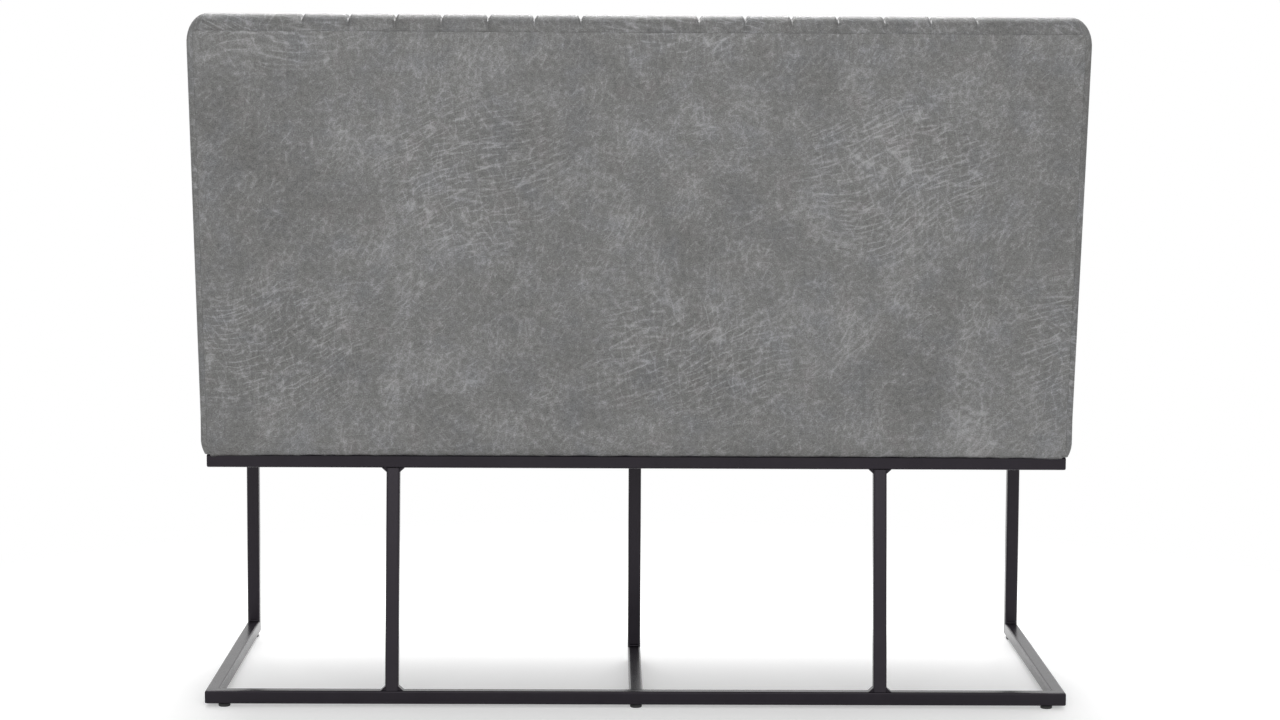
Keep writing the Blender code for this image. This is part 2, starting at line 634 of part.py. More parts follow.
def make_back_upholstery():
    """Front cover sewn in channels and wrapped over the top, foam under it, and a plain rear panel."""
    below = LEATHER_BASE - DRAWN_IN
    cover = back_form("back_cover_front", WIDTH / 2, 0, BACK_THICK, LEATHER_BASE, HEIGHT, BACK_ROUND,
                      SIDE_ROUND, quilted=True, drawn=DRAWN_IN, material="grey_leather")
    inside = back_form("back_cover_inside", WIDTH / 2 - LEATHER, LEATHER, QUILT_FACE, below, QUILT_CEILING,
                       BACK_ROUND - LEATHER, SIDE_ROUND - LEATHER, drawn=DRAWN_IN)
    rear_opening = box("rear_opening", (-PANEL_HALF, REAR - POST_FACE, below),
                       (PANEL_HALF, REAR + BACK_THICK, HEIGHT - TOP_SEAM), reclined=True)
    seat_opening = box("seat_opening", (-CORNER_HALF, REAR - 2 * BACK_THICK, below),
                       (CORNER_HALF, REAR - POST_FRONT, TUCK_Z), reclined=True)
    for opening in (inside, rear_opening, seat_opening):
        combine(cover, "DIFFERENCE", opening)

    foam = back_form("back_foam", WIDTH / 2 - LEATHER - CLEAR, LEATHER + CLEAR, QUILT_FACE - CLEAR, TUCK_Z,
                     QUILT_CEILING - CLEAR, BACK_ROUND - LEATHER, SIDE_ROUND - LEATHER, material="foam")
    frame_room = box("frame_room", (-WIDTH, REAR - POST_FRONT - CLEAR, below),
                     (WIDTH, REAR + BACK_THICK, WOOD_CEILING + CLEAR), reclined=True)
    combine(foam, "DIFFERENCE", frame_room)

    half = PANEL_HALF - CLEAR
    box("back_cover_rear", (-half, REAR - LEATHER, LEATHER_BASE), (half, REAR, WOOD_CEILING), "grey_leather",
        reclined=True)


def seat_form(name, inset, base, rear_depth, drawn=0.0, material=None):
    """The seat's body inside a skin of a given thickness: crowned top, rounded front and sides."""
    half = WIDTH / 2 - inset
    front = FRONT + inset
    edge_top = SEAT_HEIGHT - SEAT_CROWN - inset
    radius = SEAT_ROUND - inset
    rear = leaned(rear_depth, edge_top)
    skin = [((front + drawn, base), (-1, 0)), ((front, base + DRAWN_RISE), (-1, 0))]
    skin += arc(front + radius, edge_top - radius, radius, 2, 1)
    span = rear - front - radius
    for step in range(1, SEAT_STATIONS // 2 + 1):
        skin.append(((front + radius + span * step * 2 / SEAT_STATIONS, edge_top), (0, 1)))
    skin += [((leaned(rear_depth, z), z), (0, 0)) for z in (base + DRAWN_RISE, base)]

    ends = end_stations(half, radius)
    flat = half - radius
    stations = [-x for x in reversed(ends)]
    stations += [flat * (2 * step / SEAT_STATIONS - 1) for step in range(1, SEAT_STATIONS)]
    stations += ends
    bm = bmesh.new()
    rings = []
    for x in stations:
        fall = end_inset(x, half, radius)
        ring = []
        for (y, z), normal in skin:
            back_share = min(max((y - front) / (rear - front), 0), 1)
            crown = SEAT_CROWN * (1 - (x / half) ** 2) * math.sin(math.pi * back_share)
            narrowed = 1 - drawn / half if z == base else 1
            height = z - normal[1] * fall + (crown if z == edge_top else 0)
            forward = min(y - normal[0] * fall, leaned(rear_depth, height))
            ring.append(bm.verts.new((x * narrowed, forward, height)))
        rings.append(ring)
    loft(bm, rings)
    close_ends(bm, rings)
    return place(name, as_mesh(name, bm, smooth=True), material)


def make_seat_upholstery():
    """A leather cover open below and behind, over one block of foam that ends above the springs."""
    rear = BACK_THICK + CLEAR
    below = LEATHER_BASE - DRAWN_IN
    cover = seat_form("seat_cover", 0, LEATHER_BASE, rear, DRAWN_IN, "grey_leather")
    inside = seat_form("seat_cover_inside", LEATHER, below, rear - CUT_PAST, DRAWN_IN)
    combine(cover, "DIFFERENCE", inside)
    foam = seat_form("seat_foam", LEATHER + CLEAR, LEATHER_BASE, rear + CLEAR, material="foam")
    spring_room = box("spring_room", (-WIDTH, FRONT - CUT_PAST, below), (WIDTH, REAR + CUT_PAST, FOAM_BASE))
    combine(foam, "DIFFERENCE", spring_room)


clear_scene()
PARTS = new_collection("dining_sofa")
CUTTERS = new_collection("cutters")
steel_rails = make_steel_frame()
make_glides(steel_rails)
timber_rails = make_seat_frame()
make_springs()
make_frame_screws(timber_rails)
make_back_bolts(make_back_frame(), timber_rails["rear"])
make_back_upholstery()
make_seat_upholstery()
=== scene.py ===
import math

import bpy
import numpy as np
from mathutils import Matrix, Vector, noise


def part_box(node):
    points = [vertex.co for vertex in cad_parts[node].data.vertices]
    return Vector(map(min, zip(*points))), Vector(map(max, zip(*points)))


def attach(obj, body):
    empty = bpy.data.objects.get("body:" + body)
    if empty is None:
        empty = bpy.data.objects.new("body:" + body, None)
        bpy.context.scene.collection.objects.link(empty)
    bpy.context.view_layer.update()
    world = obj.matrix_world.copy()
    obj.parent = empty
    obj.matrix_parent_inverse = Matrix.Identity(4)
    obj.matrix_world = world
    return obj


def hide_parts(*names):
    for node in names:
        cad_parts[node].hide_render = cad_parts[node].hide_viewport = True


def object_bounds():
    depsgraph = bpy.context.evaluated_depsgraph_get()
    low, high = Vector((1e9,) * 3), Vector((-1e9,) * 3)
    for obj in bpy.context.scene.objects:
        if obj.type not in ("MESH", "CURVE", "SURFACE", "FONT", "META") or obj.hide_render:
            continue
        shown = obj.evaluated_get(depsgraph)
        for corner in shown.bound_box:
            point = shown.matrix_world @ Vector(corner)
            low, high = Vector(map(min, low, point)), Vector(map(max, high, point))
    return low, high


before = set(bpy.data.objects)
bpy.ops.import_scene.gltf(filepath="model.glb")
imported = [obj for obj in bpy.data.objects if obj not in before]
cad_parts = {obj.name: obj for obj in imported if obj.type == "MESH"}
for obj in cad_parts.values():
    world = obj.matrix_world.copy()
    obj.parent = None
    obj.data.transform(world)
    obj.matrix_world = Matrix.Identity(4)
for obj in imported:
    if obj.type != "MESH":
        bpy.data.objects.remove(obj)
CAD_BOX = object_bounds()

# Looks of the dining sofa: grey distressed leather on a black welded frame, seen from behind.
# Metres, +Z up. The seat faces -Y.

# Sizes of the upholstery, with its places read from the frame
RECLINE = math.radians(12.25)
CLEAR = 0.0003
BACK_THICK = 0.095
BACK_FOOT = 0.012  # above the frame, where the rear of the back meets the rear rail's face
FRONT_SIDE_ROUND = 0.016
FRONT_TOP_ROUND = 0.030
REAR_SIDE_ROUND = 0.0060
REAR_TOP_ROUND = 0.0215
FRONT_CORNER = (0.016, 0.016)  # corner of the back's flat front, across and up
OUTER_CORNER = (0.030, 0.044)  # of its outline
SEAM_CORNER = (0.006, 0.006)  # of the rear panel
SEAM_WIDE = 0.0034  # leather rolling down into a seam
SEAM_DIP = (0.0004, 0.0008)  # at the sides and along the top
SEAM_SLACK = 0.0009  # the top seam's dip fills up by as much where the thread is slack
SEAM_SLACK_SCALE = 34.0
SEAM_ALLOWANCE = 0.006  # leather turned in past the seam
QUILT = 0.012
NOTCH = 0.0075  # channel seam where it crosses the top edge
NOTCH_WIDE = 0.0052
NOTCH_POWER = 1.3  # how sharply its sides fall in
NOTCH_AT_SEAM = 0.0012  # and where it reaches the rear seam
CENTRE_PANEL = 0.170
END_PANEL = 0.1654
CHANNELS = 6
PUCKER = 0.0010  # small folds beside a channel seam
PUCKER_WIDE = 0.007
PUCKER_SCALE = 95.0
PUCKER_STAGGER = 31.7  # sets the folds of one seam off from the next one's
SEAT_ROUND = 0.032
SEAT_CORNER = (0.012, 0.012)
SEAT_OUTER_CORNER = (0.040, 0.040)
SEAT_FOOT_CORNER = (0.006, 0.006)  # where the leather is drawn round the timber
SEAT_CROWN = 0.010
SEAT_START_CROWN = 0.004  # before the padding swells
DRAWN_IN = 0.006
DRAWN_RISE = 0.022
PANEL_RISE = 0.0008  # of the rear panel inside its seam
PANEL_RISE_WIDE = 0.030
HEM = 0.012  # leather turned under at the bottom
HEM_HANG = 0.0010  # how far the rear panel hangs below the top of the rail
HEM_CORNER_HANG = 0.0026  # and how much further at its corners
HEM_OFF = 0.0100  # how far it stands off the rail's face
HEM_ROUND = 0.016
HEM_WAVE = 0.0020
HEM_WAVE_HIGH = 0.045
HEM_WAVE_SCALE = 30.0
HEM_RIPPLE = 0.6  # small waves against the long ones
HEM_RIPPLE_SCALE = 95.0
HEM_SWAY = 0.0008
HEM_SWAY_HIGH = 0.060
HEM_SWAY_SCALE = 42.0
HEM_TURNED_UP = 0.6  # share of the turned leather that rises behind the hem
HEM_HELD = 0.010
REAR_SKIN = 0.030  # depth over which the side walls follow the plumb rear skin
HEM_CORNER = 0.055
TUCK_DOWN = 0.030  # the seat's leather, turned in between the seat and the back
SEAT_SEAM_DIP = 0.0010
SEAT_SEAM_RING = 6  # the seat's top is sewn to its border on this ring of the rounded edge
STITCH_PITCH = 0.0055
STITCH_LONG = 0.0040
STITCH_WIDE = 0.0010
STITCH_FLAT = 0.7
STITCH_FORM = ((-0.5, 0.05), (-0.44, 0.55), (-0.3, 1.0), (0.3, 1.0), (0.44, 0.55), (0.5, 0.05))  # place, size
STITCH_SIDES = 6
STITCH_END = 20  # rings over the top edge, down to where the channel fades
WELD = 0.0032
WELD_RIPPLE = 0.0022
WELD_LOW = 0.9  # size between two ripples
WELD_TIP = 0.15  # size at the end of a bead
WELD_TAPER = 5  # how fast it grows from there
WELD_ARC = 6
WELD_STEPS = 4  # outlines to a ripple
WELD_LEAST = 8  # and at least, along a bead
CLOTH_STEP = 0.012
CLOTH_SAG = 0.004
CLOTH_RIPPLE = 0.0015
CLOTH_RIPPLE_SCALE = (9, 14)

# Swelling of the padded covers
SWELL_FRAMES = 20
SWELL_PRESSURE = 4.0
SWELL_QUALITY = 5
BACK_SWELL = 0.0050
PANEL_SWELL = 0.0025
SEAT_SWELL = 0.0065

# Colour of the leather
PATCHES = ((0.234, 0.800), (-0.076, 0.535))  # places on the flat hide, one in each row of patches
PATCH_PITCH = (0.62, 0.53)
PATCH_END = (13.0, 14.0)  # how fast a patch ends, across and along
PLAIN_DEPTH = 1.0
CHANNEL_PAINTED_SHADE_DEPTH = 0.92  # painted shade: the channelled leather is made a little darker all over than the plain one
TOP_PAINTED_SHADE = (0.94, 0.94, 0.94, 1)  # and painted darker still over the top edge and down its rear, as painted shade

# Mesh steps
FINE = 0.0062
ARC_STEPS = 8
WALL_STEPS = 8
LIP_STEPS = 4
SEAM_STEPS = (0.0013, 0.0027, 0.0045, 0.0075)  # columns beside a channel seam

LEAN = math.tan(RECLINE)
FRAME_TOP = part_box("top_rail_rear")[1].z
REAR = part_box("top_rail_rear")[1].y
BACK_LINE = FRAME_TOP + BACK_FOOT
BASE = FRAME_TOP + CLEAR
HALF = CAD_BOX[1].x
HEIGHT = CAD_BOX[1].z
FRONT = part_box("seat_cover")[0].y
SEAT_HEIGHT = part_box("seat_cover")[1].z
TIMBER_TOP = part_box("seat_rail_front")[1].z
TUCK_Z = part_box("back_foam")[0].z
CHANNEL_PITCH = (HALF - CENTRE_PANEL / 2 - END_PANEL) / CHANNELS

# Camera, at the photograph's viewing angle
CAMERA_PLACE = (0.0481, 4.8790, 0.9879)
CAMERA_YAW = math.radians(0.6367)
CAMERA_PITCH = math.radians(5.7487)
CAMERA_ROLL = math.radians(0.2947)
CAMERA_LENS = 88.69

# Stage
WHITE = (1, 1, 1, 1)
FLOOR = 30.0
FLOOR_COLOUR = (0.80, 0.80, 0.80, 1)
FLOOR_GLOW = 0.37  # lifts the lit floor to white where no shadow falls
FLOOR_FAR = 0.5  # light that the floor past the shadow gives the sofa
SHADOW_REACH = (0.80, 1.60)  # the shadow fades out between these distances
SURROUND = 0.26  # light that the surround gives the sofa
SURROUND_ABOVE = 0.15  # how much more of it comes from above
SURROUND_AHEAD = 0.38  # and from the seat's side
SOFT_BOXES = (  # name, place, aim, size, power, and whether gloss mirrors it
    ("soft_box_rear", (0, 3.6, 1.35), (0, 0.2, 0.6), (3.0, 1.4), 47, False),
    ("soft_box_rear_glint", (0, 3.7, 1.38), (0, 0.2, 0.6), (3.0, 1.4), 15, True),
    ("soft_box_front", (0, -2.6, 3.2), (0, 0.0, 0.3), (2.5, 1.5), 100, True),
    ("soft_box_top", (0, -0.45, 3.2), (0, 0.4, 1.0), (2.2, 1.0), 50, True),
)


class Value:
    """One output of a node. Arithmetic on it adds Math nodes."""

    def __init__(self, finish, socket):
        self.finish = finish
        self.socket = socket

    def math(self, operation, *values):
        return self.finish.node("ShaderNodeMath", {"operation": operation}, dict(enumerate(values)))

    def __add__(self, other):
        return self.math("ADD", self, other)

    def __radd__(self, other):
        return self.math("ADD", other, self)

    def __sub__(self, other):
        return self.math("SUBTRACT", self, other)

    def __rsub__(self, other):
        return self.math("SUBTRACT", other, self)

    def __mul__(self, other):
        return self.math("MULTIPLY", self, other)

    def __rmul__(self, other):
        return self.math("MULTIPLY", other, self)

    def __truediv__(self, other):
        return self.math("DIVIDE", self, other)

    def __rtruediv__(self, other):
        return self.math("DIVIDE", other, self)

    def fract(self):
        return self.math("FRACT", self)

    def most(self, other):
        return self.math("MAXIMUM", self, other)

    def rise(self, low, high):
        """0 below the first edge and 1 above the second, smooth between them."""
        limits = {"Value": self, "From Min": low, "From Max": high}
        return self.finish.node("ShaderNodeMapRange", {"interpolation_type": "SMOOTHSTEP"}, limits)

    def fall(self, low, high):
        return 1 - self.rise(low, high)


class Finish:
    """The nodes of a material, or of the surround."""

    def __init__(self, name, kind=bpy.data.materials, shader="Principled BSDF"):
        self.material = kind.new(name)
        self.material.use_nodes = True
        self.tree = self.material.node_tree
        self.shader = self.tree.nodes[shader]

    def node(self, kind, settings=None, sockets=None, output=0):
        made = self.tree.nodes.new(kind)
        for setting, value in (settings or {}).items():
            if setting == "stops":
                while len(made.color_ramp.elements) < len(value):
                    made.color_ramp.elements.new(0)
                for element, (position, colour) in zip(made.color_ramp.elements, value):
                    element.position = position
                    element.color = (*colour, 1)
            else:
                setattr(made, setting, value)
        self.feed(made, sockets or {})
        return Value(self, made.outputs[output])

    def feed(self, made, sockets):
        for socket, value in sockets.items():
            if isinstance(value, Value):
                self.tree.links.new(value.socket, made.inputs[socket])
            else:
                made.inputs[socket].default_value = value

    def surface(self, **sockets):
        """Feeds the shader; an underscore in a name stands for a space."""
        self.feed(self.shader, {socket.replace("_", " "): value for socket, value in sockets.items()})
        return self.material

    def place(self, output="Object"):
        return self.node("ShaderNodeTexCoord", output=output)

    def stretch(self, place, scale, turn=0.0, shift=(0, 0, 0)):
        """The same place turned in its plane, then scaled."""
        turned = {"Vector": place, "Rotation": (0, 0, turn), "Location": shift}
        layer = self.node("ShaderNodeMapping", {}, turned)
        return self.node("ShaderNodeVectorMath", {"operation": "MULTIPLY"}, {0: layer, 1: scale})

    def wander(self, place, scale, reach):
        """The place pushed about by a slow noise."""
        push = self.node("ShaderNodeTexNoise", {}, {"Vector": place, "Scale": scale, "Detail": 1.0},
                         output="Color")
        middle = self.node("ShaderNodeVectorMath", {"operation": "SUBTRACT"},
                           {0: push, 1: (0.5, 0.5, 0.5)})
        return self.node("ShaderNodeVectorMath", {"operation": "MULTIPLY_ADD"},
                         {0: middle, 1: (reach, reach, reach), 2: place})

    def cloud(self, place, scale, detail=2.0, rough=0.5):
        return self.node("ShaderNodeTexNoise", {},
                         {"Vector": place, "Scale": scale, "Detail": detail, "Roughness": rough})

    def cracks(self, place, width):
        """Lines between cells: 1 in the middle of a line, 0 past its width."""
        flat = {"feature": "DISTANCE_TO_EDGE", "voronoi_dimensions": "2D"}
        edges = self.node("ShaderNodeTexVoronoi", flat, {"Vector": place, "Scale": 1.0})
        return edges.fall(0.0, width)

    def mix(self, way, share, first, second):
        settings = {"data_type": "RGBA", "blend_type": way}
        return self.node("ShaderNodeMix", settings, {0: share, 6: first, 7: second}, output=2)

    def ramp(self, value, stops):
        return self.node("ShaderNodeValToRGB", {"stops": stops}, {"Fac": value})

    def bump(self, height, distance, strength=1.0):
        return self.node("ShaderNodeBump", {},
                         {"Height": height, "Distance": distance, "Strength": strength})

    def white_seen(self):
        """1 for a ray from the camera, off a gloss or through glass, which meets plain white."""
        camera = self.node("ShaderNodeLightPath", output="Is Camera Ray")
        glossy = self.node("ShaderNodeLightPath", output="Is Glossy Ray")
        return camera.most(glossy).most(self.node("ShaderNodeLightPath", output="Is Transmission Ray"))


def leather_finish(name, depth, painted_shade_heights=None):
    """Grey leather: pale strokes, long in slanting patches and curling round them, over a fine grain.

    Past the heights given on the flat hide, over the top edge and down its rear, it is painted darker:
    painted shade.
    """
    finish = Finish(name)
    hide = finish.node("ShaderNodeUVMap", {"uv_map": "hide"})
    swirl = finish.wander(hide, 3.2, 0.16)
    bent = finish.wander(swirl, 26.0, 0.012)

    # Patches where the strokes run long, in staggered rows
    patch_place = finish.wander(hide, 5.0, 0.10)
    across = finish.node("ShaderNodeSeparateXYZ", {}, {"Vector": patch_place})
    along = finish.node("ShaderNodeSeparateXYZ", {}, {"Vector": patch_place}, output=1)
    patch = None
    for start_across, start_along in PATCHES:
        off_across = ((across - start_across) / PATCH_PITCH[0] + 0.5).fract() - 0.5
        off_along = ((along - start_along) / PATCH_PITCH[1] + 0.5).fract() - 0.5
        off = off_across * off_across * PATCH_END[0] + off_along * off_along * PATCH_END[1]
        near = off.fall(0.25, 1.2)
        patch = near if patch is None else patch.most(near)

    def strokes(turn, long, close, width, shift=0.0):
        """Thin pale lines, slanting by the turn, in cells of the given length and spacing."""
        cell = finish.stretch(bent, (1 / long, 1 / close, 1.0), math.radians(turn), (shift, shift, 0))
        return finish.cracks(cell, width / close)

    broken = finish.cloud(hide, 40.0, 3.0, 0.6)
    worn_off = finish.cloud(hide, 75.0, 3.0, 0.6)
    smudge = finish.cloud(finish.stretch(bent, (17.0, 11.0, 1.0)), 1.0, 5.0, 0.66)
    shade = finish.cloud(hide, 4.5, 2.0)
    mottle = finish.cloud(hide, 130.0, 4.0, 0.72)
    grain = finish.cloud(hide, 560.0, 2.0, 0.6)
    pebble = finish.node("ShaderNodeTexVoronoi", {"voronoi_dimensions": "2D"},
                         {"Vector": hide, "Scale": 420.0})

    worn = patch * (strokes(18, 0.075, 0.0095, 0.0017) * broken.rise(0.36, 0.58) * 0.25
                    + strokes(23, 0.050, 0.0150, 0.0020, 0.7) * worn_off.rise(0.40, 0.62) * 0.19
                    + strokes(99, 0.040, 0.0150, 0.0020) * worn_off.fall(0.44, 0.62) * 0.18)
    round_about = (strokes(46, 0.028, 0.0100, 0.0018) * broken.rise(0.42, 0.62) * 0.15
                   + strokes(76, 0.036, 0.0110, 0.0022) * smudge.rise(0.42, 0.62) * 0.13
                   + strokes(-40, 0.030, 0.0100, 0.0017) * worn_off.fall(0.38, 0.54) * 0.11)
    worn = worn + (1 - patch * 0.85) * round_about
    clouds = smudge.rise(0.36, 0.80) * (1 - patch * 0.5) * 0.20
    tone = 0.375 + worn * 1.22 + clouds - patch * 0.01
    tone = tone + (shade - 0.5) * 0.46 + (mottle - 0.5) * 0.98 + (grain - 0.5) * 1.14
    dark, middle, pale = 0.105 * depth, 0.192 * depth, 0.350 * depth
    colour = finish.ramp(tone, ((0.10, (dark, dark * 0.99, dark * 0.97)),
                                (0.50, (middle, middle, middle * 0.995)),
                                (0.95, (pale, pale, pale * 1.02))))
    tint = finish.ramp(finish.cloud(hide, 17.0, 4.0, 0.6),
                       ((0.34, (0.47, 0.50, 0.55)), (0.46, (0.50, 0.50, 0.50)),
                        (0.56, (0.50, 0.505, 0.47)), (0.68, (0.54, 0.49, 0.48))))
    colour = finish.mix("SOFT_LIGHT", 0.26, colour, tint)
    # painted shade: darker over the top edge and down its rear
    if painted_shade_heights:
        height = finish.node("ShaderNodeSeparateXYZ", {}, {"Vector": hide}, output=1)
        colour = finish.mix("MULTIPLY", height.rise(*painted_shade_heights), colour, TOP_PAINTED_SHADE)
    relief = (mottle * 0.6 + grain * 0.3 + pebble * 0.3) - worn * 0.8
    rough = 0.50 + (mottle - 0.5) * 0.30 - worn * 0.2
    return finish.surface(Base_Color=colour, Roughness=rough, Specular_IOR_Level=0.42,
                          Normal=finish.bump(relief, 0.0007, 0.5))


def powder_coat_finish():
    """Satin black powder coat with a faint orange peel."""
    finish = Finish("black_powder_coat")
    place = finish.place()
    peel = finish.cloud(place, 900.0, 2.0)
    dust = finish.cloud(place, 26.0, 4.0, 0.6)
    colour = finish.ramp(dust, ((0.30, (0.0082, 0.0064, 0.0096)), (0.70, (0.0112, 0.0090, 0.0128))))
    return finish.surface(Base_Color=colour, Roughness=0.22 + dust * 0.06, Specular_IOR_Level=0.31,
                          Specular_Tint=(0.98, 0.91, 1.0, 1), Normal=finish.bump(peel, 0.00010, 0.4))


def metal_finish(name, dark, pale, rough):
    """Bare or plated steel, drawn along its length."""
    finish = Finish(name)
    place = finish.place()
    drawn = finish.cloud(finish.stretch(place, (40.0, 900.0, 900.0)), 1.0, 2.0)
    stain = finish.cloud(place, 120.0, 3.0)
    colour = finish.ramp(stain * 0.6 + drawn * 0.4, ((0.3, dark), (0.7, pale)))
    return finish.surface(Base_Color=colour, Metallic=1.0, Roughness=rough + drawn * 0.15,
                          Normal=finish.bump(drawn, 0.00005, 0.4))


def plastic_finish():
    """Black moulded plastic, scuffed where it stands."""
    finish = Finish("black_glide_plastic")
    place = finish.place()
    scuff = finish.cloud(place, 420.0, 3.0, 0.7)
    colour = finish.ramp(scuff, ((0.35, (0.010, 0.010, 0.010)), (0.75, (0.034, 0.034, 0.035))))
    return finish.surface(Base_Color=colour, Roughness=0.45 + scuff * 0.2,
                          Normal=finish.bump(scuff, 0.0001, 0.5))


def timber_finish():
    """Planed softwood, its grain along the rail's length."""
    finish = Finish("planed_timber")
    place = finish.wander(finish.place(), 3.0, 0.05)
    rings = finish.cloud(finish.stretch(place, (6.0, 160.0, 160.0)), 1.0, 3.0)
    fibre = finish.cloud(finish.stretch(place, (60.0, 900.0, 900.0)), 1.0, 2.0)
    colour = finish.ramp(rings * 0.75 + fibre * 0.25,
                         ((0.30, (0.33, 0.20, 0.10)), (0.52, (0.50, 0.34, 0.19)), (0.72, (0.62, 0.46, 0.28))))
    return finish.surface(Base_Color=colour, Roughness=0.62 + fibre * 0.2,
                          Normal=finish.bump(fibre, 0.0003, 0.5))


def hardboard_finish():
    """Pressed brown fibre board."""
    finish = Finish("brown_hardboard")
    place = finish.place()
    fibre = finish.cloud(place, 520.0, 4.0, 0.7)
    cloud = finish.cloud(place, 14.0, 2.0)
    colour = finish.ramp(fibre * 0.6 + cloud * 0.4,
                         ((0.3, (0.16, 0.095, 0.05)), (0.7, (0.33, 0.21, 0.12))))
    return finish.surface(Base_Color=colour, Roughness=0.7 + fibre * 0.2,
                          Normal=finish.bump(fibre, 0.0003, 0.6))


def dust_cloth_finish():
    """Black spun-bonded cloth with its pressed dimples."""
    finish = Finish("black_dust_cloth")
    hide = finish.node("ShaderNodeUVMap", {"uv_map": "hide"})
    dimple = finish.node("ShaderNodeTexVoronoi", {"voronoi_dimensions": "2D"},
                         {"Vector": hide, "Scale": 420.0, "Randomness": 0.25})
    fibre = finish.cloud(hide, 700.0, 4.0, 0.7)
    colour = finish.ramp(fibre, ((0.3, (0.012, 0.012, 0.012)), (0.7, (0.035, 0.035, 0.036))))
    return finish.surface(Base_Color=colour, Roughness=0.85 + fibre * 0.1,
                          Normal=finish.bump(dimple + fibre * 0.5, 0.0004, 0.7))


def thread_finish():
    """Grey sewing thread with its twist."""
    finish = Finish("grey_thread")
    twist = finish.node("ShaderNodeTexWave", {"bands_direction": "DIAGONAL"},
                        {"Vector": finish.place(), "Scale": 900.0, "Distortion": 1.0})
    colour = finish.ramp(twist, ((0.2, (0.10, 0.10, 0.10)), (0.8, (0.21, 0.21, 0.205))))
    return finish.surface(Base_Color=colour, Roughness=0.6 + twist * 0.2,
                          Normal=finish.bump(twist, 0.0001, 0.5))


class Ring:
    """One line round a cover.

    It stands so far outside the face's edge and drops so far below the face, each at the sides and at the far
    edge. Its normal turns away from the face's, and its corners have their own radii.
    """

    def __init__(self, out, drop, turn, corner):
        self.out = out
        self.drop = drop
        self.turn = turn
        self.corner = corner


class Cover:
    """The layout of a leather cover: a face, and rings that wrap its two sides and its far edge.

    Across and along lie in the face, and drop is how far a point lies under it.
    """

    MARGIN = 0.060  # columns and rows this near the edge spread to reach a wider ring

    def __init__(self, columns, rows, rings, corner):
        columns = np.asarray(columns)
        rows = np.asarray(rows)
        wide, tall = len(columns), len(rows)
        self.wide, self.tall = wide, tall
        self.half, self.far = columns[-1], rows[-1]
        flat = np.column_stack([grid.ravel() for grid in np.meshgrid(columns, rows)])
        loop = [j * wide for j in range(tall)]
        loop += [(tall - 1) * wide + i for i in range(1, wide)]
        loop += [j * wide + wide - 1 for j in range(tall - 2, -1, -1)]
        loop = np.array(loop)
        self.loop_length = len(loop)
        face = self.rounded(flat, self.half, self.far, corner)
        blank = np.zeros(len(face))
        layers = [np.column_stack((face, blank, blank, blank, blank, face))]
        numbers = np.repeat(np.arange(1, len(rings) + 1), len(loop))
        self.ring = np.concatenate((np.zeros(len(face), int), numbers))
        self.face_quads = [(j * wide + i, j * wide + i + 1, (j + 1) * wide + i + 1, (j + 1) * wide + i)
                           for j in range(tall - 1) for i in range(wide - 1)]
        self.ring_quads = []
        inner = loop
        reach = np.zeros(len(loop))
        before = np.column_stack((face[loop], np.zeros(len(loop))))
        for number, ring in enumerate(rings):
            half, far = self.half + ring.out[0], self.far + ring.out[1]
            spread_across = np.sign(flat[loop, 0]) * self.spread(np.abs(flat[loop, 0]), self.half, half)
            spread_along = self.spread(flat[loop, 1], self.far, far)
            place = self.rounded(np.column_stack((spread_across, spread_along)), half, far, ring.corner)
            tangent = np.gradient(place, axis=0)
            outward = np.column_stack((-tangent[:, 1], tangent[:, 0]))
            outward /= np.linalg.norm(outward, axis=1, keepdims=True)
            drop = ring.drop[0] + (ring.drop[1] - ring.drop[0]) * outward[:, 1].clip(0, 1) ** 2
            here = np.column_stack((place, drop))
            reach = reach + np.linalg.norm(here - before, axis=1)
            before = here
            turn = np.full(len(loop), ring.turn)
            layers.append(np.column_stack((here, turn, outward, face[loop] + outward * reach[:, None])))
            outer = len(face) + number * len(loop) + np.arange(len(loop))
            self.ring_quads += [(inner[k], inner[k + 1], outer[k + 1], outer[k])
                                for k in range(len(loop) - 1)]
            inner = outer
        table = np.concatenate(layers)
        self.across, self.along, self.drop, self.turn, self.out_across, self.out_along = table[:, :6].T
        self.hide = table[:, 6:]

    def spread(self, values, edge, wanted):
        start = edge - self.MARGIN
        return np.where(values < start, values, start + (values - start) * (wanted - start) / self.MARGIN)

    @staticmethod
    def rounded(flat, half, far, radii):
        """The far corners of a rectangle rounded, by bending squares onto quarters of an ellipse."""
        across, along = np.abs(flat[:, 0]), flat[:, 1]
        a = ((across - (half - radii[0])) / radii[0]).clip(0, 1)
        b = ((along - (far - radii[1])) / radii[1]).clip(0, 1)
        inside = (a > 0) & (b > 0)
        bent_across = np.where(inside, half - radii[0] + radii[0] * a * np.sqrt(1 - b * b / 2), across)
        bent_along = np.where(inside, far - radii[1] + radii[1] * b * np.sqrt(1 - a * a / 2), along)
        return np.column_stack((np.sign(flat[:, 0]) * bent_across, bent_along))

    def shift(self, amount):
        """Moves each point along its own normal."""
        self.across = self.across + self.out_across * np.sin(self.turn) * amount
        self.along = self.along + self.out_along * np.sin(self.turn) * amount
        self.drop = self.drop - np.cos(self.turn) * amount

    def column_path(self, column, start, last_ring):
        """The points of one column, up the face from the start and over the far edge to the last ring."""
        face = [j * self.wide + column for j in range(self.tall)]
        face = [point for point in face if self.along[point] > start]
        first = self.wide * self.tall + self.tall - 1 + column
        return face + [first + ring * self.loop_length for ring in range(last_ring)]

    def turn_under(self, base):
        """What would reach below the base is turned in under the piece."""
        under = (base - self.along).clip(0)
        self.along = self.along.clip(base)
        self.shift(-under)

    def far_share(self):
        """1 where a point belongs to the far edge, 0 at the sides; 1 all over the face."""
        return np.where(self.ring == 0, 1.0, self.out_along.clip(0, 1) ** 2)


def steps(start, end, size):
    count = max(1, round(abs(end - start) / size))
    return [start + (end - start) * i / count for i in range(count + 1)]


def between(first, second, share):
    return tuple(a + (b - a) * share for a, b in zip(first, second))


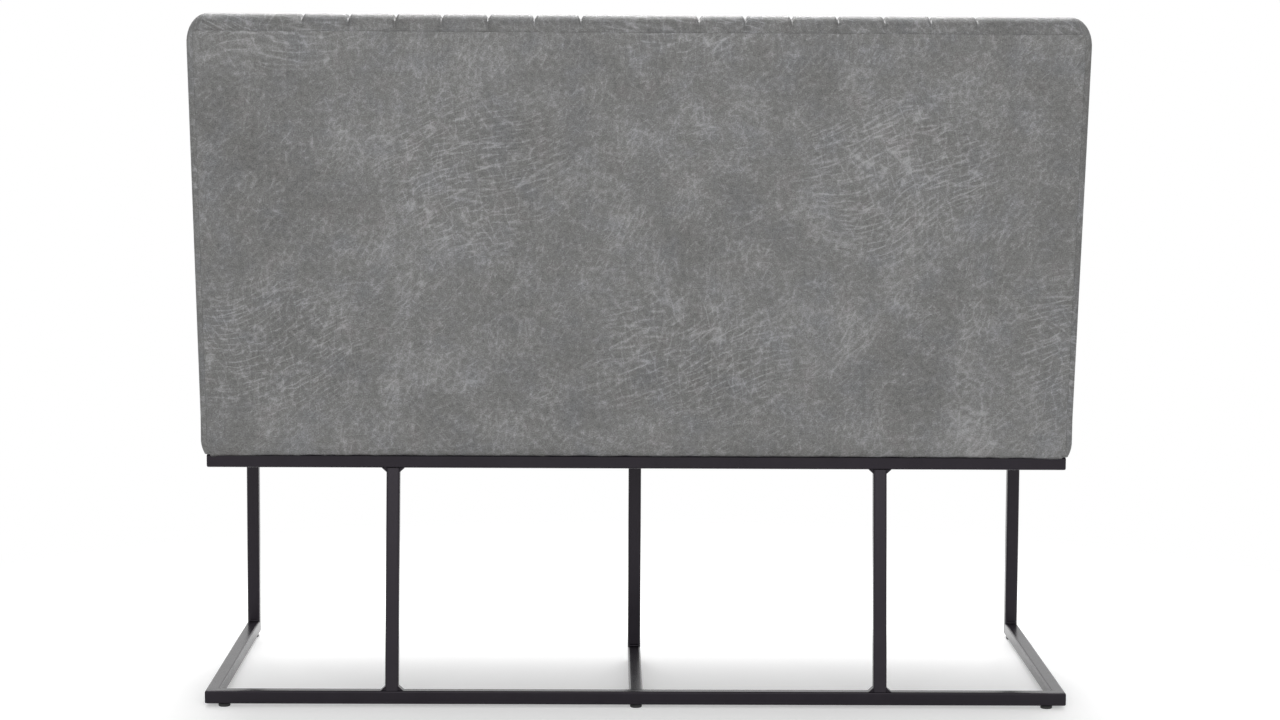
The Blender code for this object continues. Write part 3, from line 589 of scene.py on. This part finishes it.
def edge_rings(radii, corner, outer_corner):
    """Rings round the edge of a face, until they stand square with it."""
    rings = []
    for step in range(1, ARC_STEPS + 1):
        turn = math.pi / 2 * step / ARC_STEPS
        out = [radius * math.sin(turn) for radius in radii]
        drop = [radius * (1 - math.cos(turn)) for radius in radii]
        rings.append(Ring(out, drop, turn, between(corner, outer_corner, math.sin(turn))))
    return rings


def make_piece(name, points, quads, hide, finish, sewn=None, swell=0.0):
    """A smooth mesh with its flat-hide coordinates in metres, swollen between its sewn points."""
    used, corners = np.unique(np.array(quads), return_inverse=True)
    mesh = bpy.data.meshes.new(name)
    mesh.from_pydata(points[used].tolist(), [], corners.reshape(-1, 4).tolist())
    layer = mesh.uv_layers.new(name="hide")
    loops = np.empty(len(mesh.loops), np.int32)
    mesh.loops.foreach_get("vertex_index", loops)
    layer.data.foreach_set("uv", hide[used][loops].astype(np.float32).ravel())
    mesh.shade_smooth()
    mesh.materials.append(finish)
    piece = bpy.data.objects.new(name, mesh)
    bpy.context.scene.collection.objects.link(piece)
    if sewn is not None:
        swell_out(piece, np.flatnonzero(sewn[used]).tolist(), swell)
    return piece


def mesh_points(mesh):
    flat = np.empty(len(mesh.vertices) * 3, np.float32)
    mesh.vertices.foreach_get("co", flat)
    return flat.reshape(-1, 3)


def swell_out(piece, sewn, most):
    """Lets the padding press the leather out between its sewn points, and keeps the result in the mesh."""
    scene = bpy.context.scene
    before = mesh_points(piece.data)
    group = piece.vertex_groups.new(name="sewn")
    group.add(sewn, 1.0, "REPLACE")
    cloth = piece.modifiers.new("padding", "CLOTH")
    cloth.settings.vertex_group_mass = group.name
    cloth.settings.quality = SWELL_QUALITY
    cloth.settings.use_pressure = True
    cloth.settings.uniform_pressure_force = SWELL_PRESSURE
    cloth.settings.effector_weights.gravity = 0
    cloth.collision_settings.use_collision = False
    cloth.point_cache.frame_end = SWELL_FRAMES
    for number in range(1, SWELL_FRAMES + 1):
        scene.frame_set(number)
    evaluated = piece.evaluated_get(bpy.context.evaluated_depsgraph_get())
    move = mesh_points(evaluated.data) - before
    reach = np.linalg.norm(move, axis=1, keepdims=True)
    after = before + move * most / (most + reach)
    piece.modifiers.remove(cloth)
    piece.vertex_groups.remove(group)
    piece.data.vertices.foreach_set("co", after.ravel())
    piece.data.update()
    scene.frame_set(1)


def wave(values, scale, seed):
    """A smooth noise along one direction, from -1 to 1."""
    return np.array([noise.noise(Vector((value * scale, seed, 0))) for value in values])


def reclined(across, depth, height):
    """Places in the reclined back: across, depth from its rear face and height.

    Near the bottom the rear skin hangs plumb, clear of the rail's face.
    """
    lean = (height - BACK_LINE) * LEAN
    plumb = (HEM_OFF - lean).clip(0) * (1 - depth / REAR_SKIN).clip(0, 1)
    return np.column_stack((across, REAR - depth + lean + plumb, height))


def channel_seams():
    outward = [CENTRE_PANEL / 2 + CHANNEL_PITCH * count for count in range(CHANNELS + 1)]
    return [-x for x in reversed(outward)] + outward


def seam_distance(across):
    seams = np.array(channel_seams())
    return np.abs(across[:, None] - seams[None, :]).min(axis=1)


def draw_in(cover, base):
    """Sides pulled in towards the bottom edge."""
    low = (1 - (cover.along - base) / DRAWN_RISE).clip(0, 1)
    cover.across = cover.across * (1 - DRAWN_IN / HALF * low * low)


def slacken_seam(cover, first_ring):
    """Fills up the dip along the far edge's seam, more in some places than in others."""
    share = ((cover.ring - first_ring + 1) / LIP_STEPS).clip(0, 1)
    slack = SEAM_SLACK * (0.5 + wave(cover.across, SEAM_SLACK_SCALE, 7.0)).clip(0, 1)
    cover.shift(slack * share * share * cover.far_share())


def front_cover_rings():
    """From the front face round the edge, along the top and sides, round to the rear and into the seam."""
    outer = (FRONT_SIDE_ROUND, FRONT_TOP_ROUND)
    rear = (REAR_SIDE_ROUND, REAR_TOP_ROUND)
    rings = edge_rings(outer, FRONT_CORNER, OUTER_CORNER)
    for step in range(1, WALL_STEPS + 1):
        drop = [a + (BACK_THICK - a - b) * step / WALL_STEPS for a, b in zip(outer, rear)]
        rings.append(Ring(outer, drop, math.pi / 2, OUTER_CORNER))
    for step in range(1, ARC_STEPS + 1):
        turn = math.pi / 2 * step / ARC_STEPS
        out = [a - b * (1 - math.cos(turn)) for a, b in zip(outer, rear)]
        drop = [BACK_THICK - b * (1 - math.sin(turn)) for b in rear]
        corner = between(OUTER_CORNER, SEAM_CORNER, 1 - math.cos(turn))
        rings.append(Ring(out, drop, math.pi / 2 + turn, corner))
    for step in range(1, LIP_STEPS + 1):
        share = step / LIP_STEPS
        out = [a - b - SEAM_WIDE * share for a, b in zip(outer, rear)]
        deep = [BACK_THICK - dip * share * share for dip in SEAM_DIP]
        rings.append(Ring(out, deep, math.pi, SEAM_CORNER))
    deep = [BACK_THICK - dip - SEAM_ALLOWANCE for dip in SEAM_DIP]
    rings.append(Ring(out, deep, math.pi, SEAM_CORNER))
    return rings


def make_front_cover(finish):
    """The back's front cover, sewn in channels, wrapped over the top and the sides to the rear seam."""
    seams = channel_seams()
    face_half = HALF - FRONT_SIDE_ROUND
    edges = [-face_half, *seams, face_half]
    columns = [edges[0]]
    for left, right in zip(edges, edges[1:]):
        close = [left + step for step in SEAM_STEPS] if left in seams else [left]
        closing = [right - step for step in reversed(SEAM_STEPS)] if right in seams else []
        columns += close[1:] if left == edges[0] else close
        columns += steps(close[-1], closing[0] if closing else right, FINE)[1:-1] + closing + [right]
    rows = steps(BASE - HEM, TUCK_Z, FINE)[:-1] + steps(TUCK_Z, HEIGHT - FRONT_TOP_ROUND, FINE)
    cover = Cover(columns, rows, front_cover_rings(), FRONT_CORNER)
    near = seam_distance(cover.across)
    crown = (1 - near / (CHANNEL_PITCH / 2)).clip(0, 1)
    channel = QUILT * (1 - np.sqrt((1 - crown * crown).clip(0, 1)))
    notch = NOTCH * (1 - near / NOTCH_WIDE).clip(0, 1) ** NOTCH_POWER
    fading = notch * NOTCH_AT_SEAM / NOTCH
    over = np.sin(cover.turn.clip(0, math.pi / 2))
    down = 1 - np.sin(cover.turn.clip(math.pi / 2, math.pi))
    groove = channel + (notch - channel) * over + (fading - notch) * down
    stray = wave(cover.along + PUCKER_STAGGER * cover.across, PUCKER_SCALE, 3.0)
    pucker = np.exp(-near / PUCKER_WIDE) * stray * PUCKER
    cover.shift((pucker * (1 - down) - groove) * cover.far_share())
    slacken_seam(cover, 2 * ARC_STEPS + WALL_STEPS + 1)
    draw_in(cover, BASE)
    cover.turn_under(BASE)
    points = reclined(cover.across, BACK_THICK - cover.drop, cover.along)
    hidden = set(np.flatnonzero(cover.along < TUCK_Z - CLEAR).tolist())
    quads = [quad for quad in cover.face_quads if not hidden.intersection(quad)] + cover.ring_quads
    sewn = (near < CLEAR) | (cover.turn > math.pi / 2 - CLEAR) | (cover.along < BASE + HEM)
    sewn |= (cover.ring == 0) & (cover.along < TUCK_Z + FINE)
    piece = make_piece("back_cover_channelled", points, quads, cover.hide, finish, sewn, BACK_SWELL)
    start = TUCK_Z + 2 * HEM
    threads = [points[cover.column_path(columns.index(seam), start, STITCH_END)] for seam in seams]
    return piece, make_stitches("channel_stitching", threads, thread_finish())


def make_rear_panel(finish):
    """The plain rear panel, sewn into the front cover's edge and hanging over the rail along the bottom."""
    half = HALF - REAR_SIDE_ROUND - 2 * SEAM_WIDE
    top = HEIGHT - REAR_TOP_ROUND - 2 * SEAM_WIDE
    hem_z = FRAME_TOP - HEM_HANG
    columns = steps(-half, half, FINE)
    rows = steps(hem_z - HEM, hem_z + HEM_ROUND, FINE / 3)[:-1] + steps(hem_z + HEM_ROUND, top, FINE)
    rings = []
    for step in range(1, LIP_STEPS + 1):
        share = step / LIP_STEPS
        out = (SEAM_WIDE * share, SEAM_WIDE * share)
        rings.append(Ring(out, [dip * share * share for dip in SEAM_DIP], 0.0, SEAM_CORNER))
    rings.append(Ring(out, [dip + SEAM_ALLOWANCE for dip in SEAM_DIP], 0.0, SEAM_CORNER))
    cover = Cover(columns, rows, rings, SEAM_CORNER)
    edge = np.minimum(half - np.abs(cover.across), top - cover.along).clip(0)
    cover.shift(PANEL_RISE * (edge / PANEL_RISE_WIDE).clip(0, 1))
    slacken_seam(cover, 1)
    under = (hem_z - cover.along).clip(0)
    low = (1 - (cover.along - hem_z) / HEM_ROUND).clip(0, 1)
    above = (cover.along - hem_z).clip(0)
    cover.along = cover.along.clip(hem_z)
    ripple = HEM_RIPPLE * wave(cover.across, HEM_RIPPLE_SCALE, 2.0)
    ripple = (wave(cover.across, HEM_WAVE_SCALE, 1.0) + ripple).clip(-1, 1)
    lift = ripple * HEM_WAVE / 2 - HEM_CORNER_HANG * np.exp((np.abs(cover.across) - half) / HEM_CORNER)
    sway = wave(cover.across, HEM_SWAY_SCALE, 5.0) * (1 - above / HEM_SWAY_HIGH).clip(0, 1) ** 2 * HEM_SWAY
    draw_in(cover, hem_z)
    points = reclined(cover.across, cover.drop, cover.along)
    points[:, 1] += sway - (HEM_OFF - 2 * CLEAR) * (1 - np.sqrt(1 - low * low))
    points[:, 2] += lift * (1 - above / HEM_WAVE_HIGH).clip(0, 1) ** 2 + under * HEM_TURNED_UP
    quads = [quad[::-1] for quad in cover.face_quads + cover.ring_quads]
    sewn = (cover.ring > 0) | (above < HEM_HELD)
    return make_piece("back_panel_rear", points, quads, cover.hide, finish, sewn, PANEL_SWELL)


def make_seat(finish):
    """The seat's cover: a crowned top, rounded over the front and sides and turned under at the frame."""
    edge_top = SEAT_HEIGHT - SEAT_CROWN
    rear = REAR - BACK_THICK - CLEAR + (edge_top - BACK_LINE) * LEAN
    length = rear - FRONT - SEAT_ROUND
    face_half = HALF - SEAT_ROUND
    columns = steps(-face_half, face_half, FINE)
    rows = steps(-TUCK_DOWN, 0, FINE)[:-1] + steps(0, length, FINE)
    round_edge = (SEAT_ROUND, SEAT_ROUND)
    rings = edge_rings(round_edge, SEAT_CORNER, SEAT_OUTER_CORNER)
    wall = edge_top - BASE
    for drop in steps(SEAT_ROUND, wall, FINE)[1:]:
        low = max(0, 1 - (wall - drop) / DRAWN_RISE)
        out = SEAT_ROUND - DRAWN_IN * low * low
        foot = min(1, (drop - SEAT_ROUND) / (edge_top - TIMBER_TOP - SEAT_ROUND))
        corner = between(SEAT_OUTER_CORNER, SEAT_FOOT_CORNER, foot)
        rings.append(Ring((out, out), (drop, drop), math.pi / 2, corner))
    out = SEAT_ROUND - DRAWN_IN - HEM
    rings.append(Ring((out, out), (wall, wall), math.pi, SEAT_FOOT_CORNER))
    cover = Cover(columns, rows, rings, SEAT_CORNER)
    share = (cover.along / (length + SEAT_ROUND)).clip(0, 1)
    crown = (1 - (cover.across / HALF) ** 2).clip(0) * np.sin(math.pi * share)
    seam = np.where(cover.ring == SEAT_SEAM_RING, SEAT_SEAM_DIP, 0)
    cover.shift(SEAT_START_CROWN * crown * np.cos(cover.turn).clip(0) - seam)
    tuck = (-cover.along).clip(0)
    height = edge_top - cover.drop - tuck * np.cos(cover.turn).clip(0)
    height = np.maximum(height, BASE)
    across = cover.across - cover.out_across * tuck * np.sin(cover.turn.clip(0, math.pi / 2))
    forward = cover.along.clip(0) / (length + SEAT_ROUND)
    rear_here = REAR - BACK_THICK - CLEAR + (height - BACK_LINE) * LEAN
    y = rear_here + (FRONT - rear_here) * forward
    points = np.column_stack((across, y, height))
    quads = [quad[::-1] for quad in cover.face_quads + cover.ring_quads]
    sewn = (cover.drop > wall - HEM) | (cover.along < FINE) | (cover.ring == SEAT_SEAM_RING)
    return make_piece("seat_cover_leather", points, quads, cover.hide, finish, sewn, SEAT_SWELL)


def make_dust_cover(finish):
    """Black cloth stapled under the seat, sagging a little between the rails."""
    low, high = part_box("dust_cover")
    xs = steps(low.x, high.x, CLOTH_STEP)
    ys = steps(low.y, high.y, CLOTH_STEP)
    scale_x, scale_y = CLOTH_RIPPLE_SCALE
    points = []
    for y in ys:
        for x in xs:
            bay = abs(math.sin(math.pi * x / high.x))
            run = math.sin(math.pi * (y - low.y) / (high.y - low.y))
            ripple = noise.noise(Vector((x * scale_x, y * scale_y, 4.0)))
            sag = bay * run * (CLOTH_SAG + CLOTH_RIPPLE * ripple)
            points.append((x, y, (low.z + high.z) / 2 - sag))
    wide = len(xs)
    quads = [(j * wide + i, (j + 1) * wide + i, (j + 1) * wide + i + 1, j * wide + i + 1)
             for j in range(len(ys) - 1) for i in range(wide - 1)]
    points = np.array(points)
    return make_piece("dust_cover_cloth", points, quads, points[:, :2], finish)


def make_stitches(name, threads, finish):
    """Short thread stitches laid along each path, closed at both ends."""
    points, quads = [], []
    aside = np.array((1.0, 0.0, 0.0))
    for thread in threads:
        run = np.concatenate(([0], np.cumsum(np.linalg.norm(np.diff(thread, axis=0), axis=1))))
        for middle in np.arange(STITCH_PITCH, run[-1] - STITCH_PITCH, STITCH_PITCH):
            near, far = [np.array([np.interp(middle + way * STITCH_LONG / 2, run, thread[:, axis])
                                   for axis in range(3)]) for way in (-1, 1)]
            along = (far - near) / np.linalg.norm(far - near)
            upward = np.cross(aside, along) * STITCH_FLAT
            first = len(points)
            for place, size in STITCH_FORM:
                centre = (near + far) / 2 + along * STITCH_LONG * place
                for side in range(STITCH_SIDES):
                    angle = 2 * math.pi * side / STITCH_SIDES
                    round_off = aside * math.cos(angle) + upward * math.sin(angle)
                    points.append(centre + round_off * size * STITCH_WIDE / 2)
            quads += closed_run(first, STITCH_SIDES, len(STITCH_FORM))
    points = np.array(points)
    return make_piece(name, points, quads, points[:, [0, 2]], finish)


def closed_run(first, line, count, turned=True):
    """The faces of a run of equal outlines, each of an even number of points, with both ends closed."""
    quads = []
    for step in range(count - 1):
        for side in range(line):
            here, beside = first + step * line + side, first + step * line + (side + 1) % line
            quads.append((here, here + line, beside + line, beside))
    last = first + (count - 1) * line
    for side in range(1, line - 2, 2):
        quads.append((first, first + side, first + side + 1, first + side + 2))
        quads.append((last, last + side + 2, last + side + 1, last + side))
    return quads if turned else [quad[::-1] for quad in quads]


def inside_corners():
    """The weld lines of the steel frame: two ends, and the ways off the two walls that meet there."""
    back, ahead, down, up = Vector((0, 1, 0)), Vector((0, -1, 0)), Vector((0, 0, -1)), Vector((0, 0, 1))
    rear_top, front_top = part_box("top_rail_rear"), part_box("top_rail_front")
    rear_floor, centre_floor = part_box("floor_rail_rear"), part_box("floor_rail_centre")
    centre_leg, centre_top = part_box("centre_leg"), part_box("top_rail_centre")
    under, over = rear_top[0].z, rear_floor[1].z
    lines = []
    for word, inward in (("left", Vector((1, 0, 0))), ("right", Vector((-1, 0, 0)))):
        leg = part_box(f"front_leg_{word}")
        inner = leg[1].x if inward.x > 0 else leg[0].x
        lines.append(((inner, leg[0].y, under), (inner, leg[1].y, under), inward, down))
        lines.append(((leg[0].x, leg[1].y, under), (leg[1].x, leg[1].y, under), back, down))
        lines.append(((leg[0].x, leg[1].y, over), (leg[1].x, leg[1].y, over), back, up))
        floor_y = rear_floor[0].y
        lines.append(((inner, floor_y, rear_floor[0].z), (inner, floor_y, over), inward, ahead))
        lines.append(((inner, rear_top[0].y, under), (inner, rear_top[0].y, FRAME_TOP), inward, ahead))
        lines.append(((inner, front_top[1].y, under), (inner, front_top[1].y, FRAME_TOP), inward, back))
        outer = centre_floor[0].x if inward.x > 0 else centre_floor[1].x
        lines.append(((outer, floor_y, rear_floor[0].z), (outer, floor_y, over), -inward, ahead))
        outer = centre_top[0].x if inward.x > 0 else centre_top[1].x
        lines.append(((outer, rear_top[0].y, under), (outer, rear_top[0].y, FRAME_TOP), -inward, ahead))
        lines.append(((outer, front_top[1].y, under), (outer, front_top[1].y, FRAME_TOP), -inward, back))
    for y, way in ((centre_leg[1].y, back), (centre_leg[0].y, ahead)):
        lines.append(((centre_leg[0].x, y, under), (centre_leg[1].x, y, under), way, down))
    y = centre_leg[1].y
    lines.append(((centre_leg[0].x, y, over), (centre_leg[1].x, y, over), back, up))
    return lines


def make_welds(finish):
    """Rippled beads in the frame's inside corners, closed at both ends."""
    points, quads = [], []
    for start, end, first, second in inside_corners():
        start, end = Vector(start), Vector(end)
        run = end - start
        count = max(WELD_LEAST, round(run.length / (WELD_RIPPLE / WELD_STEPS)))
        base = len(points)
        for step in range(count + 1):
            share = step / count
            taper = min(1, WELD_TAPER * share + WELD_TIP, WELD_TAPER * (1 - share) + WELD_TIP)
            ripple = abs(math.sin(math.pi * share * run.length / WELD_RIPPLE))
            size = WELD * taper * (WELD_LOW + (1 - WELD_LOW) * ripple)
            corner = start + run * share + (first + second) * CLEAR
            points.append(corner)
            for bend in range(WELD_ARC + 1):
                angle = math.pi / 2 * bend / WELD_ARC
                points.append(corner + (first * math.cos(angle) + second * math.sin(angle)) * size)
        quads += closed_run(base, WELD_ARC + 2, count + 1, run.dot(first.cross(second)) < 0)
    points = np.array([list(point) for point in points])
    return make_piece("weld_beads", points, quads, points[:, :2], finish)


def dress(nodes, finish):
    for name in nodes:
        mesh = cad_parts[name].data
        mesh.materials.clear()
        mesh.materials.append(finish)


def dress_frame():
    """Finishes for the pieces that are carried over as they are."""
    names = sorted(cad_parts)
    coat = powder_coat_finish()
    welds = make_welds(coat)
    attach(welds, "sofa")
    zinc = metal_finish("zinc_plated_steel", (0.42, 0.42, 0.43), (0.66, 0.66, 0.66), 0.28)
    spring = metal_finish("oiled_spring_steel", (0.10, 0.10, 0.105), (0.25, 0.25, 0.25), 0.34)
    groups = {
        ("floor_rail", "top_rail", "rear_upright", "front_leg", "centre_leg", "fixing_tab"): coat,
        ("frame_screw", "back_bolt"): zinc,
        ("seat_spring", "clip_rail"): spring,
        ("glide",): plastic_finish(),
        ("seat_rail", "seat_stretcher", "back_rail", "back_post"): timber_finish(),
        ("back_board",): hardboard_finish(),
    }
    for starts, finish in groups.items():
        dress([name for name in names if name.startswith(starts)], finish)


def make_upholstery():
    leather = leather_finish("grey_distressed_leather", PLAIN_DEPTH)
    over_edge = HEIGHT - FRONT_TOP_ROUND + FRONT_TOP_ROUND * math.pi / 2
    flat_top = BACK_THICK - FRONT_TOP_ROUND - REAR_TOP_ROUND
    # heights on the flat hide past which the top edge gets its painted shade
    painted_shade_heights = (over_edge, over_edge + flat_top)
    # the front cover's leather is a darker copy of the plain leather, as painted shade
    front_leather = leather_finish("grey_channel_leather", CHANNEL_PAINTED_SHADE_DEPTH, painted_shade_heights)
    front, stitching = make_front_cover(front_leather)
    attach(stitching, "sofa")
    rear = make_rear_panel(leather)
    seat = make_seat(leather)
    for piece, nodes, fill in ((front, ("back_cover_front", "back_foam"), 0.8),
                               (rear, ("back_cover_rear", "rear_padding"), 0.6),
                               (seat, ("seat_cover", "seat_foam"), 0.8)):
        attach(piece, "sofa")
        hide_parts(*nodes)
    cloth = make_dust_cover(dust_cloth_finish())
    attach(cloth, "sofa")
    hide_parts("dust_cover")


def make_stage():
    """A white floor that keeps the sofa's shadow, under a soft white surround."""
    finish = Finish("white_floor")
    place = finish.place()
    away = finish.node("ShaderNodeVectorMath", {"operation": "LENGTH"}, {0: place}, output=1)
    seen = finish.white_seen()
    lit = finish.node("ShaderNodeBsdfDiffuse", {}, {"Color": FLOOR_COLOUR})
    glow = finish.node("ShaderNodeEmission", {}, {"Color": WHITE, "Strength": seen * FLOOR_GLOW})
    near = finish.node("ShaderNodeAddShader", {}, {0: lit, 1: glow})
    far = seen + (1 - seen) * FLOOR_FAR
    white = finish.node("ShaderNodeEmission", {}, {"Color": WHITE, "Strength": far})
    blend = finish.node("ShaderNodeMixShader", {}, {0: away.rise(*SHADOW_REACH), 1: near, 2: white})
    finish.tree.links.new(blend.socket, finish.tree.nodes["Material Output"].inputs["Surface"])
    mesh = bpy.data.meshes.new("floor")
    corners = [(across * FLOOR, along * FLOOR, 0) for across, along in ((-1, -1), (1, -1), (1, 1), (-1, 1))]
    mesh.from_pydata(corners, [], [(0, 1, 2, 3)])
    mesh.materials.append(finish.material)
    floor = bpy.data.objects.new("floor", mesh)
    bpy.context.scene.collection.objects.link(floor)

    sky = Finish("white_surround", bpy.data.worlds, "Background")
    upward = sky.node("ShaderNodeSeparateXYZ", {}, {"Vector": sky.place("Generated")}, output=2)
    ahead = sky.node("ShaderNodeSeparateXYZ", {}, {"Vector": sky.place("Generated")}, output=1)
    level = SURROUND + upward.rise(0.05, 0.9) * SURROUND_ABOVE + ahead.fall(-0.7, 0.1) * SURROUND_AHEAD
    seen = sky.white_seen()
    bpy.context.scene.world = sky.surface(Color=WHITE, Strength=seen + (1 - seen) * level)


def add_lights():
    """Soft boxes; one that isn't mirrored lights the sofa without a hard glint on what is glossy."""
    for name, place, aim, size, power, mirrored in SOFT_BOXES:
        data = bpy.data.lights.new(name, "AREA")
        data.shape = "RECTANGLE"
        data.size, data.size_y = size
        data.energy = power
        lamp = bpy.data.objects.new(name, data)
        lamp.location = place
        lamp.visible_camera = False
        lamp.visible_glossy = mirrored
        lamp.rotation_euler = (Vector(aim) - Vector(place)).to_track_quat("-Z", "Y").to_euler()
        bpy.context.scene.collection.objects.link(lamp)


def add_camera():
    yaw, pitch, roll = CAMERA_YAW, CAMERA_PITCH, CAMERA_ROLL
    level = math.cos(pitch)
    forward = Vector((-math.sin(yaw) * level, -math.cos(yaw) * level, -math.sin(pitch)))
    right = Vector((-math.cos(yaw), math.sin(yaw), 0))
    upward = right.cross(forward)
    rolled_right = right * math.cos(roll) + upward * math.sin(roll)
    rolled_up = upward * math.cos(roll) - right * math.sin(roll)
    data = bpy.data.cameras.new("camera")
    data.lens = CAMERA_LENS
    camera = bpy.data.objects.new("camera", data)
    turned = Matrix((rolled_right, rolled_up, -forward)).transposed().to_4x4()
    camera.matrix_world = Matrix.Translation(CAMERA_PLACE) @ turned
    bpy.context.scene.collection.objects.link(camera)
    bpy.context.scene.camera = camera


bpy.context.scene.view_settings.view_transform = "Standard"
add_camera()
add_lights()
make_stage()
dress_frame()
make_upholstery()
